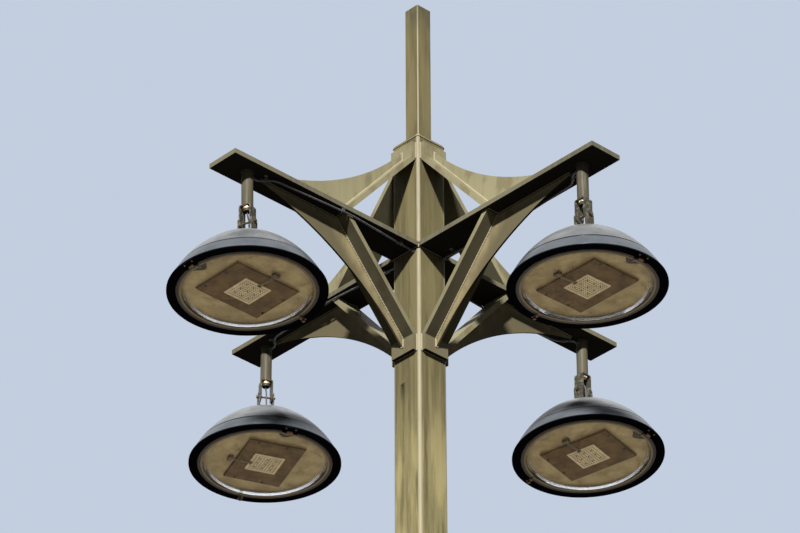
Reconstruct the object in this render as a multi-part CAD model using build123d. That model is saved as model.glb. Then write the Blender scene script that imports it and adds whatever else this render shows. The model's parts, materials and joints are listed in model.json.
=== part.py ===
from build123d import *
import math
import os

# Four-arm street light on a square steel mast
# Millimetres, +Z up. The origin is the centre of the base flange's underside, on the mast's axis.
# Each arm's own frame has its plate's underside at z = 0 and runs outwards along +X.
# Each lamp's own frame has the pivot bolt's centre at its origin, with the bolt along X.

# Arms: name and compass direction, then the azimuths of the lamp's pivot bolt and of its cover hinge,
# the small angle at which the lamp hangs on its bolt and the tube's sideways lean, all in degrees
arm_directions = {"east": 0, "north": 90, "west": 180, "south": 270}
pivot_azimuths = {"east": 180, "north": 93, "west": 60, "south": 200}
hinge_azimuths = {"east": 0, "north": 13, "west": -21, "south": -90}
lamp_tilts = {"east": -1.7, "north": -3.4, "west": -0.6, "south": 0}
tube_leans = {"east": 0, "north": 0, "west": 0, "south": 1.4}

# Mast
mast_side = 145.0
mast_wall = 6.0
mast_corner = 11.0
arm_height = 11000.0
mast_above_arms = 527.0
cap_thick = 8.0
drain_hole = 8.0
drain_side = 21.0
drain_below_arms = 587.0

# Post on top of the mast
post_side = 73.0
post_wall = 4.0
post_corner = 5.0
post_top_above_arms = 1185.0
post_cap_thick = 5.0

# Base flange, its stiffeners and the service door
flange_side = 320.0
flange_thick = 25.0
flange_corner = 20.0
anchor_spacing = 250.0
anchor_hole = 28.0
cable_entry = 90.0
gusset_height = 140.0
gusset_reach = 80.0
gusset_thick = 10.0
gusset_toe = 15.0
door_height = 700.0
hatch_width = 76.0
hatch_length = 280.0
hatch_corner = 18.0
door_lap = 11.0
door_thick = 4.0

# Arm plates, bars and webs
plate_width = 147.0
plate_thick = 20.0
plate_past_tube = 125.0
mitre = 4.0
bar_width = 120.0
bar_thick = 20.0
tab_top = 466.0
bar_bend = 393.0
bar_foot = 342.5
bar_bend_radius = 8.0
web_thick = 8.0
web_top = 438.0
web_before_tube = 62.0
web_nose = 12.0
web_radius = 1275.0

# Drop tube, its spigot and the lock nut
tube_reach = 888.0
tube_outer = 45.0
tube_wall = 4.0
tube_drop = 154.0
tube_trim = 2.0
spigot_outer = 30.0
spigot_bore = 25.0
spigot_length = 24.0
spigot_shoulder = 6.0
nut_outer = 37.0
nut_thick = 10.0
nut_chamfer = 2.0
nut_slot = 5.0
nut_slot_depth = 1.5
thread_gap = 0.1

# Hanger: the saddle on the tube and the yoke on the lamp, joined by the pivot bolt
pivot_drop = 227.0
saddle_gap = 40.0
hanger_thick = 5.0
hanger_width = 44.0
hanger_bend = 8.0
hanger_play = 0.5
yoke_reach = 73.0
bolt_diameter = 8.0
bolt_play = 0.08
bolt_head = 5.5
bolt_flats = 13.0
bolt_end = 8.0
washer_outer = 17.0
washer_thick = 1.6

# Lamp housing, in a frame with its lower rim at z = 0
dome_height = 233.0
dome_neck = 50.0
dome_foot = 296.0
dome_foot_height = 8.0
dome_radius = 440.0
dome_wall = 2.0
rim_radius = 300.0
rim_height = 5.0
door_opening = 266.0
groove_height = 60.0
groove_depth = 1.2
groove_width = 4.0

# Tray and light board inside the lamp
tray_clear = 4.0
tray_height = 14.0
tray_wall = 2.0
platform_length = 305.0
platform_width = 238.0
platform_drop = 10.0
platform_taper = 4.0
board_side = 125.0
board_thick = 2.0
board_corner = 3.0

# Hinged cover: ring, glass, hinge and latch
ring_gap = 1.5
ring_inner = 244.0
ring_below = 1.5
ring_thick = 2.5
ring_stand = 6.0
ring_stand_thick = 2.5
glass_gap = 0.5
glass_thick = 4.0
glass_lip = 8.0
glass_drop = 13.0
glass_floor = 226.0
glass_bend = 9.0
hinge_reach = 272.0
hinge_drop = 8.0
knuckle_outer = 10.0
knuckle_length = 24.0
knuckle_gap = 0.3
hinge_pin = 5.0
pin_play = 0.08
leaf_width = 60.0
leaf_length = 22.0
leaf_thick = 3.0
strap_thick = 3.0
latch_length = 42.0
latch_width = 18.0
latch_thick = 2.0
latch_knob = 12.0
latch_end = 2.0
latch_knob_height = 9.0

# Supply cable under each plate, its clips and glands, and the lamp's own lead
cable_diameter = 8.0
cable_drop = 12.0
cable_side = 46.0
cable_bow = 8.0
cable_from_mast = 27.5
cable_past_foot = 5.0
cable_turn = 98.0
cable_straight = 52.0
cable_bends = [300.0, 300.0, 65.0, 40.0]
clip_from_mast = 70.5
clip_past_foot = 47.0
clip_from_tube = 75.0
clip_length = 14.0
clip_wall = 2.0
clip_foot = 22.0
cable_gap = 0.3
gland_outer = 18.0
gland_length = 9.0
gland_nose = 13.0
gland_nose_length = 7.0
lead_diameter = 6.0
lead_side = -14.0
lead_turn = 12.0
lead_bends = [30.0, 30.0]
lead_gland_outer = 20.0
lead_gland_height = 18.0
lead_entry = 2.0

# Dependent sizes
mast_top = arm_height + mast_above_arms - cap_thick
half_mast = mast_side / 2
bar_slope = math.atan2(bar_bend, bar_foot)
bar_outer_foot = half_mast + bar_foot + bar_thick / math.sin(bar_slope)
bar_outer_bend = bar_bend + bar_thick / math.cos(bar_slope) - bar_thick * math.tan(bar_slope)
tube_radius = tube_outer / 2
saddle_reach = pivot_drop - tube_drop
saddle_outer = saddle_gap + 2 * hanger_thick
yoke_gap = saddle_outer + 2 * hanger_play
yoke_outer = yoke_gap + 2 * hanger_thick
rim_drop = yoke_reach + dome_height
ring_outer = door_opening - ring_gap
ring_top = ring_thick - ring_below
lead_top = tube_drop + spigot_length
plate_reach = tube_reach + plate_past_tube
web_reach = tube_reach - web_before_tube
foot_reach = half_mast + bar_foot
cable_corners = [
    (half_mast + cable_from_mast, cable_side),
    (foot_reach + cable_past_foot, bar_width / 2 + cable_bow),
    (tube_reach - cable_turn, cable_side),
    (tube_reach - cable_straight, 0.0),
]
clip_places = [half_mast + clip_from_mast, foot_reach + clip_past_foot, tube_reach - clip_from_tube]
cable_hole = cable_diameter + 2 * cable_gap
nodes = {}


def hollow_square(side, wall, corner, length):
    """A square tube with rounded corners, standing on z = 0."""
    outer = RectangleRounded(side, side, corner)
    inner = RectangleRounded(side - 2 * wall, side - 2 * wall, corner - wall)
    return extrude(outer - inner, length)


def rod_x(diameter, start, end, y=0.0, z=0.0):
    """A round bar along X from start to end."""
    return Pos((start + end) / 2, y, z) * Rot(0, 90, 0) * Cylinder(diameter / 2, end - start)


def rod_y(diameter, start, end, x=0.0, z=0.0):
    """A round bar along Y from start to end."""
    return Pos(x, (start + end) / 2, z) * Rot(90, 0, 0) * Cylinder(diameter / 2, end - start)


def rod_z(diameter, start, end, x=0.0, y=0.0):
    """A round bar along Z from start to end."""
    return Pos(x, y, (start + end) / 2) * Cylinder(diameter / 2, end - start)


def turned(points):
    """A solid of revolution about Z from an outline of (radius, height) points."""
    outline = Plane.XZ * make_face(Polyline(*points, close=True))
    return revolve(outline, Axis.Z)


def on_arm(shape, name):
    """Puts a shape from an arm's own frame onto the mast."""
    return Pos(0, 0, arm_height) * Rot(0, 0, arm_directions[name]) * shape


def on_tube_line(shape, name):
    """Puts a shape made round Z, with the plate's underside at z = 0, at the tube's place and lean."""
    return Pos(tube_reach, 0, 0) * Rot(tube_leans[name], 0, 0) * shape


def at_pivot(shape, name):
    """Puts a shape that hangs on the tube, made round the pivot bolt, onto its arm."""
    turn = pivot_azimuths[name] - arm_directions[name]
    return on_arm(on_tube_line(Pos(0, 0, -pivot_drop) * Rot(0, 0, turn) * shape, name), name)


def on_lamp(shape, name):
    """Puts a shape from a lamp's own frame onto the pivot bolt, at the lamp's tilt."""
    return at_pivot(Rot(lamp_tilts[name], 0, 0) * shape, name)


def in_housing(shape, name):
    """Puts a shape from the housing's frame, rim at z = 0 and hinge along +X, into its lamp."""
    turn = hinge_azimuths[name] - pivot_azimuths[name]
    return on_lamp(Pos(0, 0, -rim_drop) * Rot(0, 0, turn) * shape, name)


# Mast with its service hatch, cable holes and the small drain hole on its south face
def make_mast():
    tube = hollow_square(mast_side, mast_wall, mast_corner, mast_top - flange_thick)
    tube = Pos(0, 0, flange_thick) * tube
    hatch = extrude(RectangleRounded(hatch_length, hatch_width, hatch_corner), 3 * mast_wall, both=True)
    tube -= Pos(-half_mast, 0, door_height) * Rot(0, 90, 0) * hatch
    drain = rod_y(drain_hole, -half_mast - mast_wall, -half_mast + 2 * mast_wall, x=-drain_side)
    tube -= Pos(0, 0, arm_height - drain_below_arms) * drain
    for name in arm_directions:
        hole = rod_x(cable_hole, half_mast - 2 * mast_wall, half_mast + mast_wall, cable_side, -cable_drop)
        tube -= on_arm(hole, name)
    return tube


def make_mast_cap():
    return Pos(0, 0, mast_top) * extrude(RectangleRounded(mast_side, mast_side, mast_corner), cap_thick)


def make_top_post():
    start = mast_top + cap_thick
    length = arm_height + post_top_above_arms - post_cap_thick - start
    return Pos(0, 0, start) * hollow_square(post_side, post_wall, post_corner, length)


def make_post_cap():
    top = arm_height + post_top_above_arms
    return Pos(0, 0, top - post_cap_thick) * extrude(
        RectangleRounded(post_side, post_side, post_corner), post_cap_thick
    )


# Base flange with four anchor holes and the cable entry
def make_base_flange():
    plate = extrude(RectangleRounded(flange_side, flange_side, flange_corner), flange_thick)
    anchors = GridLocations(anchor_spacing, anchor_spacing, 2, 2)
    plate -= anchors * rod_z(anchor_hole, -flange_thick, 2 * flange_thick)
    plate -= rod_z(cable_entry, -flange_thick, 2 * flange_thick)
    return plate


# One stiffener stands in the middle of each mast face
def make_base_gussets():
    outline = Polyline(
        (half_mast, flange_thick),
        (half_mast + gusset_reach, flange_thick),
        (half_mast + gusset_reach, flange_thick + gusset_toe),
        (half_mast + gusset_toe, flange_thick + gusset_height),
        (half_mast, flange_thick + gusset_height),
        close=True,
    )
    gusset = extrude(Plane.XZ * make_face(outline), gusset_thick / 2, both=True)
    return [Rot(0, 0, angle) * gusset for angle in arm_directions.values()]


def make_service_door():
    plate = RectangleRounded(hatch_length + 2 * door_lap, hatch_width + 2 * door_lap, hatch_corner + door_lap)
    return Pos(-half_mast, 0, door_height) * Rot(0, -90, 0) * extrude(plate, door_thick)


# Flat arm plate with its inner corners mitred, so that the four plates meet at the mast's edges
def make_arm_plate():
    half = plate_width / 2
    outline = Polyline(
        (half_mast, mitre - half),
        (half_mast + mitre, -half),
        (plate_reach, -half),
        (plate_reach, half),
        (half_mast + mitre, half),
        (half_mast, half - mitre),
        close=True,
    )
    return extrude(make_face(outline), plate_thick)


def mirrored_below(shape):
    """The same piece on the other side of the arm plate."""
    return mirror(shape, about=Plane.XY.offset(plate_thick / 2))


# Flat bar with a tab on the mast's face, bent outwards to run down to the plate
def make_upper_bar():
    outline = Polyline(
        (half_mast, tab_top),
        (half_mast, bar_bend),
        (half_mast + bar_foot, 0),
        (bar_outer_foot, 0),
        (half_mast + bar_thick, bar_outer_bend),
        (half_mast + bar_thick, tab_top),
        close=True,
    )
    face = make_face(outline)
    inside = face.vertices().sort_by_distance((half_mast + bar_thick, bar_outer_bend, 0))[0]
    face = fillet(inside, bar_bend_radius)
    outside = face.vertices().sort_by_distance((half_mast, bar_bend, 0))[0]
    face = fillet(outside, bar_bend_radius + bar_thick)
    bar = extrude(Plane.XZ * face, bar_width / 2, both=True)
    return Pos(0, 0, plate_thick) * bar


# Web plate on the arm's centre line: its free edge is one long arc from the tab to near the tip
def make_upper_web(bar):
    tab_face = half_mast + bar_thick
    top = (tab_face, web_top)
    tip = (web_reach, web_nose)
    edge = RadiusArc(tip, top, web_radius)
    rest = Polyline(
        top, (tab_face, bar_outer_bend), (bar_outer_foot, 0), (web_reach, 0), tip
    )
    blank = extrude(Plane.XZ * make_face([edge, rest]), web_thick / 2, both=True)
    return Pos(0, 0, plate_thick) * blank - bar


# Round tube trimmed flush with the plate, stepped down to a spigot that carries the saddle
def make_drop_tube(name):
    bore = tube_radius - tube_wall
    tube = turned([
        (tube_radius, tube_trim),
        (tube_radius, -tube_drop),
        (spigot_outer / 2, -tube_drop),
        (spigot_outer / 2, -tube_drop - spigot_length),
        (spigot_bore / 2, -tube_drop - spigot_length),
        (spigot_bore / 2, -tube_drop + spigot_shoulder),
        (bore, -tube_drop + 2 * spigot_shoulder),
        (bore, tube_trim),
    ])
    above = Pos(tube_reach, 0, 2 * tube_trim) * Box(2 * tube_outer, 2 * tube_outer, 4 * tube_trim)
    hole = rod_x(cable_hole, tube_reach - tube_outer, tube_reach, 0, -cable_drop)
    return on_tube_line(tube, name) - above - hole


def make_lock_nut():
    top = saddle_reach - hanger_thick
    nut = rod_z(nut_outer, top - nut_thick, top)
    nut = chamfer(nut.edges(), nut_chamfer)
    nut -= rod_z(spigot_outer + 2 * thread_gap, top - 2 * nut_thick, top + nut_thick)
    for angle in arm_directions.values():
        slot = Pos(nut_outer / 2, 0, top - nut_thick / 2) * Box(2 * nut_slot_depth, nut_slot, 2 * nut_thick)
        nut -= Rot(0, 0, angle) * slot
    return nut


# U-shaped bracket round the pivot bolt: a plate at height reach and two cheeks with round ends
def make_clevis(gap, reach):
    outer = gap + 2 * hanger_thick
    low = -hanger_width / 2
    front = Pos(0, (reach + low) / 2) * Rectangle(outer, reach - low)
    corners = front.vertices().group_by(Axis.Y)[-1]
    front = fillet(corners, hanger_bend)
    inner_top = reach - hanger_thick
    hollow = Pos(0, (inner_top + low) / 2) * Rectangle(gap, inner_top - low)
    bends = hollow.vertices().group_by(Axis.Y)[-1]
    hollow = fillet(bends, hanger_bend - hanger_thick)
    channel = extrude(Plane.XZ * (front - hollow), hanger_width / 2, both=True)
    side = Pos(0, reach / 2) * Rectangle(hanger_width, reach) + Circle(hanger_width / 2)
    cheeks = extrude(Plane.YZ * side, outer, both=True)
    bolt_hole = rod_x(bolt_diameter + 2 * bolt_play, -outer, outer)
    return (channel & cheeks) - bolt_hole


def make_saddle():
    hole = rod_z(spigot_outer + 2 * thread_gap, 0, 2 * saddle_reach)
    return make_clevis(saddle_gap, saddle_reach) - hole


def make_yoke():
    return Rot(180, 0, 0) * make_clevis(yoke_gap, yoke_reach)


# Bolt with its washer, screwed into the saddle's far cheek; its end sticks out of the yoke
def make_pivot_bolt():
    seat = yoke_outer / 2 + hanger_play
    hexagon = RegularPolygon(bolt_flats / 2, 6, major_radius=False)
    shank = rod_x(bolt_diameter, -seat - washer_thick, yoke_outer / 2 + bolt_end)
    washer = rod_x(washer_outer, -seat - washer_thick, -seat)
    head = Pos(-seat - washer_thick, 0, 0) * Rot(0, -90, 0) * extrude(hexagon, bolt_head)
    return shank + washer + head


# Spun housing: one flowing arc from the neck to the rim, with a turned-in flange underneath
def dome_outline():
    half = make_face([
        Polyline((0, dome_height), (dome_neck, dome_height)),
        RadiusArc((dome_neck, dome_height), (dome_foot, dome_foot_height), dome_radius),
        Polyline(
            (dome_foot, dome_foot_height), (rim_radius, rim_height), (rim_radius, 0), (0, 0), (0, dome_height)
        ),
    ])
    return half


def make_dome():
    outer = dome_outline()
    whole = outer + mirror(outer, about=Plane.YZ)
    right = Pos(rim_radius, dome_height / 2) * Rectangle(2 * rim_radius, 2 * dome_height)
    inner = offset(whole, -dome_wall) & right
    shell = revolve(Plane.XZ * (outer - inner), Axis.Z)
    shell -= rod_z(2 * door_opening, -dome_height, 2 * dome_wall)
    groove_radius = groove_place()
    groove = Plane.XZ * (Pos(groove_radius, groove_height) * Circle(groove_width / 2))
    return shell - revolve(groove, Axis.Z)


def groove_place():
    """Radius at which the groove's round section sinks into the dome by its depth."""
    arc = RadiusArc((dome_neck, dome_height), (dome_foot, dome_foot_height), dome_radius)
    centre = arc.arc_center
    outside = dome_radius + groove_width / 2 - groove_depth
    return centre.X + math.sqrt(outside ** 2 - (groove_height - centre.Y) ** 2)


# Pressed tray over the whole opening: a turned-down edge stands on the flange, and a raised
# rectangular platform carries the light board
def make_led_tray():
    edge = rim_radius - dome_wall - tray_clear - (rim_radius - dome_foot) - tray_height / 2
    pan = turned([
        (0, tray_height), (edge, tray_height), (edge, dome_wall), (edge - tray_wall, dome_wall),
        (edge - tray_wall, tray_height - tray_wall), (0, tray_height - tray_wall),
    ])
    slant = math.degrees(math.atan2(platform_taper, platform_drop))
    outside = extrude(Rectangle(platform_length, platform_width), -platform_drop, taper=slant)
    inside = extrude(
        Rectangle(platform_length - 2 * tray_wall, platform_width - 2 * tray_wall), -platform_drop, taper=slant
    )
    pan += Pos(0, 0, tray_height - tray_wall) * outside
    return pan - Pos(0, 0, tray_height) * inside


def make_led_board():
    top = tray_height - tray_wall - platform_drop
    return Pos(0, 0, top - board_thick) * extrude(
        RectangleRounded(board_side, board_side, board_corner), board_thick
    )


# Cover ring: a flat face flush with the flange, an upstand that holds the glass,
# a strap with the hinge's middle knuckle, and the latch tongue with its knob opposite
def make_cover_ring():
    stand = ring_inner + glass_lip + glass_gap
    ring = turned([
        (ring_inner, -ring_below), (ring_outer, -ring_below), (ring_outer, ring_top),
        (stand + ring_stand_thick, ring_top), (stand + ring_stand_thick, ring_top + ring_stand),
        (stand, ring_top + ring_stand), (stand, ring_top), (ring_inner, ring_top),
    ])
    strap_start = ring_inner + knuckle_gap
    strap_length = hinge_reach - strap_start
    strap_middle = (strap_start + hinge_reach) / 2
    strap_low = -ring_below - strap_thick
    ring += Pos(strap_middle, 0, strap_low + strap_thick / 2) * Box(strap_length, knuckle_length, strap_thick)
    half = knuckle_length / 2
    ring += rod_y(knuckle_outer, -half, half, hinge_reach, -hinge_drop)
    ring -= rod_y(hinge_pin + 2 * pin_play, -knuckle_length, knuckle_length, hinge_reach, -hinge_drop)
    latch_start = -ring_inner - knuckle_gap
    latch_middle = latch_start - latch_length / 2
    latch_low = -ring_below - latch_thick
    ring += Pos(latch_middle, 0, latch_low + latch_thick / 2) * Box(latch_length, latch_width, latch_thick)
    knob_place = latch_start - latch_length + latch_end + latch_knob / 2
    ring += rod_z(latch_knob, latch_low - latch_knob_height, latch_low, knob_place)
    return ring


# Shallow pressed glass pan: its lip lies on the ring and its floor hangs below the rim
def make_cover_glass():
    lip = ring_inner + glass_lip
    wall = ring_inner - glass_gap
    low = ring_top - glass_drop
    outline = make_face(Polyline(
        (0, low), (glass_floor, low), (wall, ring_top), (lip, ring_top), (lip, ring_top + glass_thick),
        (wall - glass_thick, ring_top + glass_thick), (glass_floor - glass_thick, low + glass_thick),
        (0, low + glass_thick), close=True,
    ))
    for corner, radius in (((glass_floor, low), glass_bend + glass_thick),
                           ((glass_floor - glass_thick, low + glass_thick), glass_bend)):
        spot = outline.vertices().sort_by_distance((corner[0], corner[1], 0))[0]
        outline = fillet(spot, radius)
    return revolve(Plane.XZ * outline, Axis.Z)


# Hinge leaf under the flange, with two knuckles and the pin
def make_hinge_leaf():
    inner_end = knuckle_length / 2 + knuckle_gap
    outer_end = leaf_width / 2
    start = hinge_reach + knuckle_outer / 2 + knuckle_gap
    leaf = Pos(start + leaf_length / 2, 0, -leaf_thick / 2) * Box(leaf_length, leaf_width, leaf_thick)
    for low, high in ((inner_end, outer_end), (-outer_end, -inner_end)):
        leaf += rod_y(knuckle_outer, low, high, hinge_reach, -hinge_drop)
        bridge = Pos((hinge_reach + start) / 2, (low + high) / 2, -hinge_drop / 2)
        leaf += bridge * Box(start - hinge_reach, high - low, hinge_drop)
    leaf += rod_y(hinge_pin, -outer_end, outer_end, hinge_reach, -hinge_drop)
    return leaf


# Supply cable under the plate, from inside the mast round the bar's foot into the drop tube
def make_feed_cable():
    points = [(half_mast - 2 * mast_wall, cable_side, -cable_drop)]
    points += [(along, side, -cable_drop) for along, side in cable_corners]
    points.append((tube_reach - tube_radius + tube_wall, 0, -cable_drop))
    path = FilletPolyline(*points, radius=cable_bends)
    section = Plane(origin=path @ 0, z_dir=path % 0) * Circle(cable_diameter / 2)
    return sweep(section, path)


# P-clips on the cable's straight runs, with the foot on the side that has room on the plate
def make_cable_clips():
    hole = cable_hole / 2
    outer = hole + clip_wall
    clips = []
    for place in clip_places:
        before = [corner for corner in cable_corners if corner[0] < place][-1]
        after = [corner for corner in cable_corners if corner[0] > place][0]
        slope = (after[1] - before[1]) / (after[0] - before[0])
        foot_side = 1 if slope < -0.5 else -1
        profile = Pos(0, -cable_drop / 2) * Rectangle(2 * outer, cable_drop)
        profile += Pos(0, -cable_drop) * Circle(outer)
        profile += Pos(foot_side * clip_foot / 2, -clip_wall / 2) * Rectangle(clip_foot, clip_wall)
        profile -= Pos(0, -cable_drop) * Circle(hole)
        clip = extrude(Plane.YZ * profile, clip_length / 2, both=True)
        side = before[1] + slope * (place - before[0])
        clips.append(Pos(place, side, 0) * Rot(0, 0, math.degrees(math.atan(slope))) * clip)
    return clips


def make_gland(side, start, direction):
    """A cable gland on a wall at x = start, pointing along +X or -X."""
    base_end = start + direction * gland_length
    nose_end = base_end + direction * gland_nose_length
    low, high = sorted((start, base_end))
    gland = rod_x(gland_outer, low, high, side, -cable_drop)
    low, high = sorted((base_end, nose_end))
    gland += rod_x(gland_nose, low, high, side, -cable_drop)
    low, high = sorted((start - direction, nose_end + direction))
    return gland - rod_x(cable_hole, low, high, side, -cable_drop)


# Lead from the lamp's gland past the pivot bolt into the tube's spigot
def make_lamp_lead():
    base = hanger_thick - yoke_reach
    top = pivot_drop - lead_top + lead_entry
    gland = rod_z(lead_gland_outer, base, base + lead_gland_height, 0, lead_side)
    start = base + lead_gland_height
    path = FilletPolyline(
        (0, lead_side, start), (0, lead_side, lead_turn), (0, 0, top - lead_turn), (0, 0, top),
        radius=lead_bends,
    )
    section = Plane(origin=path @ 0, z_dir=path % 0) * Circle(lead_diameter / 2)
    return gland + sweep(section, path)


def solids_of(pieces):
    """One shape that holds every solid of a list."""
    solids = []
    for piece in pieces:
        solids.extend(piece.solids())
    return Compound(solids)


# One node for each piece, in the order in which the light is put together
nodes["mast"] = make_mast()
nodes["mast_cap"] = make_mast_cap()
nodes["top_post"] = make_top_post()
nodes["post_cap"] = make_post_cap()
nodes["base_flange"] = make_base_flange()
nodes["base_gussets"] = solids_of(make_base_gussets())
nodes["service_door"] = make_service_door()

upper_bar = make_upper_bar()
upper_web = make_upper_web(upper_bar)
clips = make_cable_clips()
mast_gland = make_gland(cable_side, half_mast, 1)
tube_body = rod_z(tube_outer, -tube_drop, tube_trim)
tube_gland = make_gland(0, tube_reach - tube_radius + tube_wall, -1)
glands, all_clips, cables, tubes, saddles, lock_nuts, bolts = [], [], [], [], [], [], []
for name in arm_directions:
    nodes[f"{name}_plate"] = on_arm(make_arm_plate(), name)
    nodes[f"{name}_bars"] = on_arm(solids_of([upper_bar, mirrored_below(upper_bar)]), name)
    nodes[f"{name}_webs"] = on_arm(solids_of([upper_web, mirrored_below(upper_web)]), name)
    glands += [on_arm(mast_gland, name), on_arm(tube_gland - on_tube_line(tube_body, name), name)]
    all_clips += [on_arm(clip, name) for clip in clips]
    cables.append(on_arm(make_feed_cable(), name))
    tubes.append(on_arm(make_drop_tube(name), name))
    saddles.append(at_pivot(make_saddle(), name))
    lock_nuts.append(at_pivot(make_lock_nut(), name))
    bolts.append(at_pivot(make_pivot_bolt(), name))
nodes["feed_cables"] = solids_of(cables)
nodes["cable_clips"] = solids_of(all_clips)
nodes["cable_glands"] = solids_of(glands)
nodes["drop_tubes"] = solids_of(tubes)
nodes["saddles"] = solids_of(saddles)
nodes["lock_nuts"] = solids_of(lock_nuts)
nodes["pivot_bolts"] = solids_of(bolts)

for name in arm_directions:
    nodes[f"{name}_yoke"] = on_lamp(make_yoke(), name)
    nodes[f"{name}_lead"] = on_lamp(make_lamp_lead(), name)
    nodes[f"{name}_dome"] = in_housing(make_dome(), name)
    nodes[f"{name}_tray"] = in_housing(make_led_tray(), name)
    nodes[f"{name}_light_board"] = in_housing(make_led_board(), name)
    nodes[f"{name}_hinge"] = in_housing(make_hinge_leaf(), name)
    nodes[f"{name}_cover_ring"] = in_housing(make_cover_ring(), name)
    nodes[f"{name}_cover_glass"] = in_housing(make_cover_glass(), name)

os.makedirs("parts", exist_ok=True)
for name, shape in nodes.items():
    export_step(shape, f"parts/{name}.step")
print(len(nodes), "nodes")
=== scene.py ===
# %% [markdown]
# # A four-arm street light, dressed for its photograph
# The CAD model gives every part its true shape and place. This lesson adds what paint, weather and small
# fittings do to it: streaked bronze paint, weld beads, spun and faded lamp covers, dusty glass and the
# light boards behind it. All sizes are metres, and +Z is up.

# %% Open the frame
import json
import math
import bmesh
import bpy
from mathutils import Matrix, Vector


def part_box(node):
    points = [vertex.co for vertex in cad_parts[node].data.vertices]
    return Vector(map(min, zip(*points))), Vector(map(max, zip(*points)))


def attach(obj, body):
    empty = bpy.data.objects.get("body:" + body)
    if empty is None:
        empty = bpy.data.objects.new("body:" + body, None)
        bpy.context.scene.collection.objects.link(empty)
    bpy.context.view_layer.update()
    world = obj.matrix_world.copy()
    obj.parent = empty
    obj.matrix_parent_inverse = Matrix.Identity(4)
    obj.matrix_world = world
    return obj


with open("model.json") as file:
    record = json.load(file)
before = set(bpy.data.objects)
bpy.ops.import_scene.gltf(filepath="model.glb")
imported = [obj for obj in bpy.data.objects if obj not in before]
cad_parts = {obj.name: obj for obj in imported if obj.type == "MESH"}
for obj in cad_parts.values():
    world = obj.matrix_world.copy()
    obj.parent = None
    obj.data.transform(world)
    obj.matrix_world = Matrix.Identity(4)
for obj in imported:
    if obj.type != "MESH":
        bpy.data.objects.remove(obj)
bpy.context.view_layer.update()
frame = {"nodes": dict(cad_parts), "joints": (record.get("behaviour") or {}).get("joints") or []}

arm_azimuths = {"east": 0, "north": 90, "west": 180, "south": 270}
joints = {joint["name"]: joint for joint in frame["joints"]}
mast_body = "mast_assembly"
print("CAD nodes:", len(frame["nodes"]), "joints:", len(joints))

# %% [markdown]
# ## Where things are
# New pieces sit on CAD parts, so their places are read from the frame: a plate's box gives the arms'
# height, and a joint gives a lamp's pivot. Each arm has its own frame, with x running outwards and z = 0 at
# the plate's underside. Each lamp has one too, with z = 0 at its lower rim and x towards its hinge. A
# matrix carries a mesh from such a frame into the object's frame, which keeps all the placing in one step.

# %% Sizes read from the frame
plate_low, plate_high = (Vector(corner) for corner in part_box("east_plate"))
arm_height = plate_low.z
plate_thick = plate_high.z - plate_low.z
half_mast = plate_low.x
web_high = Vector(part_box("east_webs")[1])
web_reach = web_high.x
half_web = web_high.y
bar_high = Vector(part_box("east_bars")[1])
half_bar = bar_high.y
tab_top = bar_high.z - arm_height
mast_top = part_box("mast_cap")[0][2]
cap_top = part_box("mast_cap")[1][2]
half_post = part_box("top_post")[1][0]
post_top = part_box("top_post")[1][2]
tube_reach = Vector(joints["east_lamp_swivel"]["pos_m"]).x
tube_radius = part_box("drop_tubes")[1][0] - tube_reach
print("arms at", round(arm_height, 3), "m, tubes at", round(tube_reach, 3), "m from the axis")

# %% Sizes repeated from the drawing
hinge_reach = 0.272
hinge_below_rim = 0.008
rim_below_pivot = 0.306
bar_thick = 0.020
bar_bend = 0.393
bar_foot = 0.3425
bar_slope = math.atan2(bar_bend, bar_foot)
print("bars slope at", round(math.degrees(bar_slope), 1), "degrees")

# %% Frames of the arms and lamps
arm_frames = {
    name: Matrix.Translation((0, 0, arm_height)) @ Matrix.Rotation(math.radians(azimuth), 4, "Z")
    for name, azimuth in arm_azimuths.items()
}


def lamp_frame(name):
    """The lamp's frame at rest, found from its pivot and its cover's hinge line."""
    pivot = Vector(joints[f"{name}_lamp_swivel"]["pos_m"])
    hinge = joints[f"{name}_cover_hinge"]
    side = -Vector(hinge["axis"]).normalized()
    reach, drop = hinge_reach, rim_below_pivot + hinge_below_rim
    towards = (Vector(hinge["pos_m"]) - pivot).normalized()
    out = (reach * towards + drop * towards.cross(side)).normalized()
    up = out.cross(side)
    turn = Matrix((out, side, up)).transposed().to_4x4()
    return Matrix.Translation(pivot) @ turn @ Matrix.Translation((0, 0, -rim_below_pivot))


lamp_frames = {name: lamp_frame(name) for name in arm_azimuths}
for name, place in lamp_frames.items():
    tilt = math.degrees(math.acos(min(1.0, place.col[2].z)))
    print(name, "lamp hangs", round(tilt, 2), "degrees off plumb")

# %% [markdown]
# ## Writing node trees as formulas
# Materials and Geometry Nodes are built from nodes. One function adds any node: its settings come first,
# because they can change its sockets, and then the values or links. A small class wraps a socket, so that
# sums and products of values read like the formulas they are.

# %% A node by its type, settings and sockets
def find_socket(sockets, key):
    """A socket by its number, its identifier or its name."""
    if isinstance(key, int):
        return sockets[key]
    for socket in sockets:
        if socket.identifier == key:
            return socket
    return sockets[key]


def put(tree, kind, settings=None, inputs=None, output=0):
    """Adds one node and returns its output as a Value."""
    node = tree.nodes.new(kind)
    for key, setting in (settings or {}).items():
        setattr(node, key, setting)
    for key, given in (inputs or {}).items():
        socket = find_socket(node.inputs, key)
        if isinstance(given, Value):
            tree.links.new(given.socket, socket)
        else:
            socket.default_value = given
    return Value(find_socket(node.outputs, output))


print("nodes are added by", put.__name__)

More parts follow.
